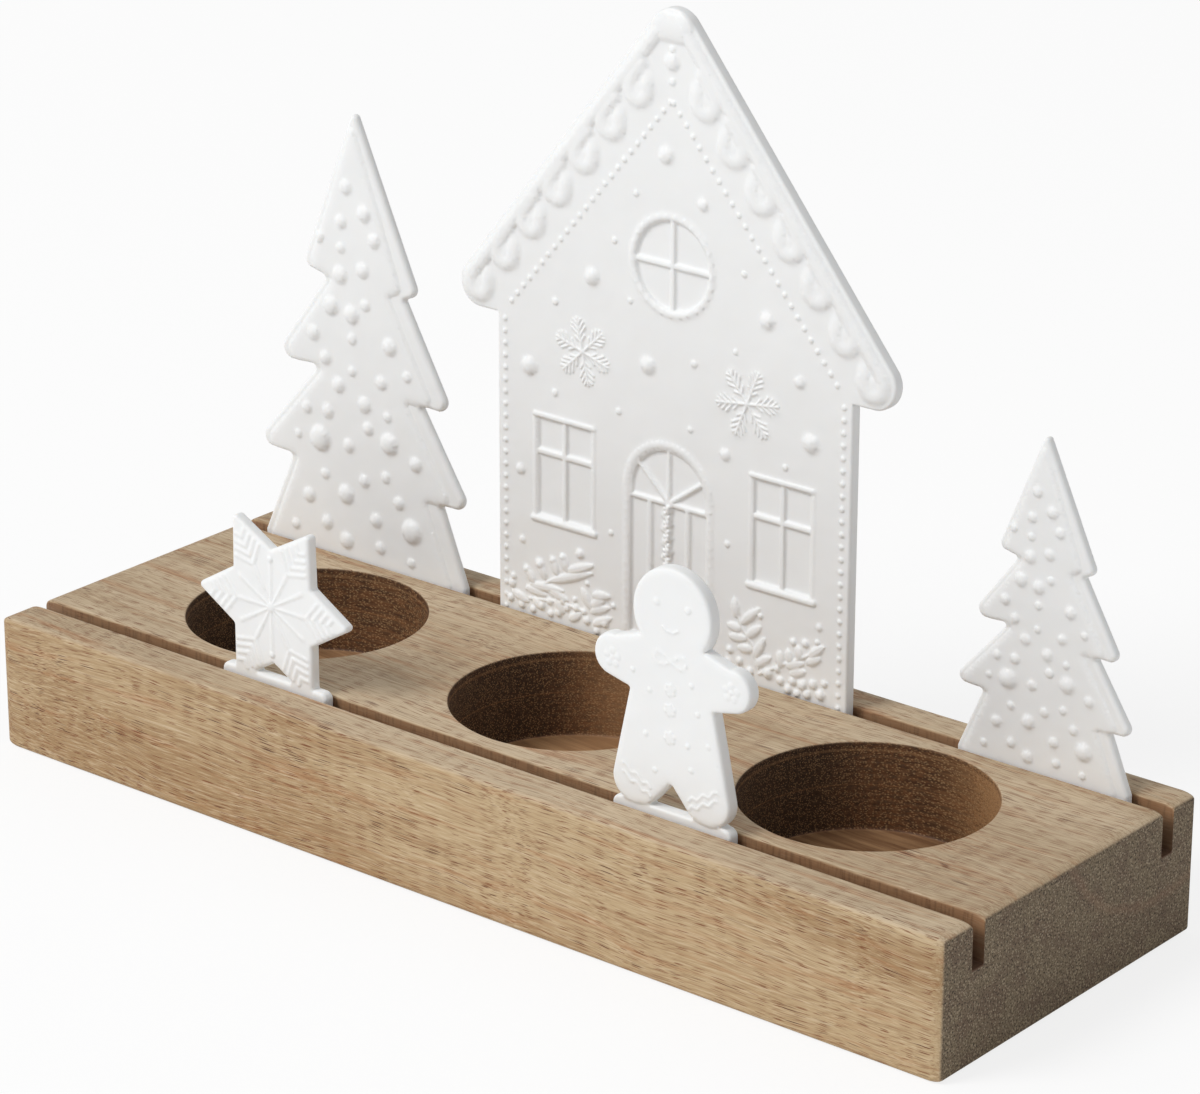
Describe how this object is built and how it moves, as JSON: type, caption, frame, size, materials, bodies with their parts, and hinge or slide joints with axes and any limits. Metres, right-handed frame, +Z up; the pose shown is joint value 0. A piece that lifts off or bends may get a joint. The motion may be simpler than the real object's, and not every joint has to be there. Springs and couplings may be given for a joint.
{
  "type": "candle holder",
  "caption": "Wooden block candle holder with round tealight pockets and grooves holding lift-out white porcelain house, tree, star and gingerbread figures.",
  "frame": {"origin": "centre of the block's underside", "axes": "+X along the block to the right as seen from the front, +Y from the front to the back row of figures, +Z up"},
  "size_m": [0.3, 0.104, 0.2057],
  "materials": {
    "wood": "oiled, open-grained, satin",
    "porcelain": "unglazed, matte"
  },
  "bodies": {
    "block": {"wood_block": "wood"},
    "house": {"house": "porcelain"},
    "tree_large": {"tree_large": "porcelain"},
    "tree_small": {"tree_small": "porcelain"},
    "star": {"star": "porcelain"},
    "gingerbread_man": {"gingerbread_man": "porcelain"}
  },
  "joints": [
    {"name": "house_lift", "type": "slide", "parent": "block", "child": "house", "axis": [0, 0, 1], "range_m": [0, 0.03]},
    {"name": "tree_large_lift", "type": "slide", "parent": "block", "child": "tree_large", "axis": [0, 0, 1], "range_m": [0, 0.03]},
    {"name": "tree_small_lift", "type": "slide", "parent": "block", "child": "tree_small", "axis": [0, 0, 1], "range_m": [0, 0.03]},
    {"name": "star_lift", "type": "slide", "parent": "block", "child": "star", "axis": [0, 0, 1], "range_m": [0, 0.03]},
    {"name": "gingerbread_man_lift", "type": "slide", "parent": "block", "child": "gingerbread_man", "axis": [0, 0, 1], "range_m": [0, 0.03]}
  ]
}
